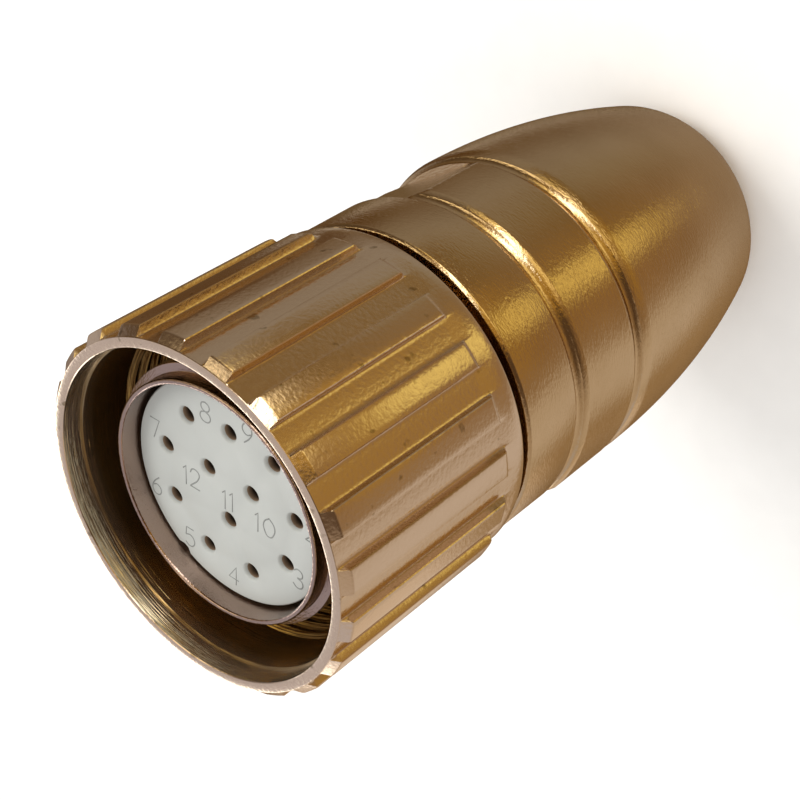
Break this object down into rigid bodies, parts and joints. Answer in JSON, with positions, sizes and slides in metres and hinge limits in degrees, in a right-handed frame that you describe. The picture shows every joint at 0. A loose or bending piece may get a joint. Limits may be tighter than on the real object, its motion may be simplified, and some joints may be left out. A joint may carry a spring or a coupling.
{
  "type": "encoder connector",
  "caption": "Straight round cable connector with socket contacts, a ribbed coupling nut and a bullet-shaped cable gland.",
  "frame": {"origin": "centre of the flat ring at the cable end, on the axis of the connector", "axes": "+Z along the axis from the cable end to the mating face, X through the two wrench flats"},
  "size_m": [0.026, 0.026, 0.0546],
  "materials": {
    "plated_body": "nickel plated brass, fine turned",
    "plated_nut": "nickel plated, slightly grainy",
    "spring_steel": "plain",
    "black_rubber": "matt",
    "grey_plastic": "moulded, matt",
    "black_plastic": "moulded, matt",
    "bare_brass": "turned",
    "gold_contact": "gold plated"
  },
  "bodies": {
    "connector_body": {"nut_snap_ring": "spring_steel", "main_housing": "plated_body", "sleeve_o_ring": "black_rubber", "housing_o_ring": "black_rubber", "contact_insert_front": "grey_plastic", "contact_insert_rear": "grey_plastic", "insulating_sleeve": "grey_plastic", "shield_ring": "bare_brass", "thrust_ring": "black_plastic", "cable_seal": "black_rubber", "clamping_cage": "black_plastic", "gland_nut": "plated_body", "contact_1": "gold_contact", "contact_2": "gold_contact", "contact_3": "gold_contact", "contact_4": "gold_contact", "contact_5": "gold_contact", "contact_6": "gold_contact", "contact_7": "gold_contact", "contact_8": "gold_contact", "contact_9": "gold_contact", "contact_10": "gold_contact", "contact_11": "gold_contact", "contact_12": "gold_contact"},
    "coupling_nut": {"coupling_nut": "plated_nut"}
  },
  "joints": [
    {"name": "coupling_nut_turn", "type": "hinge", "parent": "connector_body", "child": "coupling_nut", "pos_m": [0, 0, 0.0379], "axis": [0, 0, 1], "continuous": true}
  ]
}
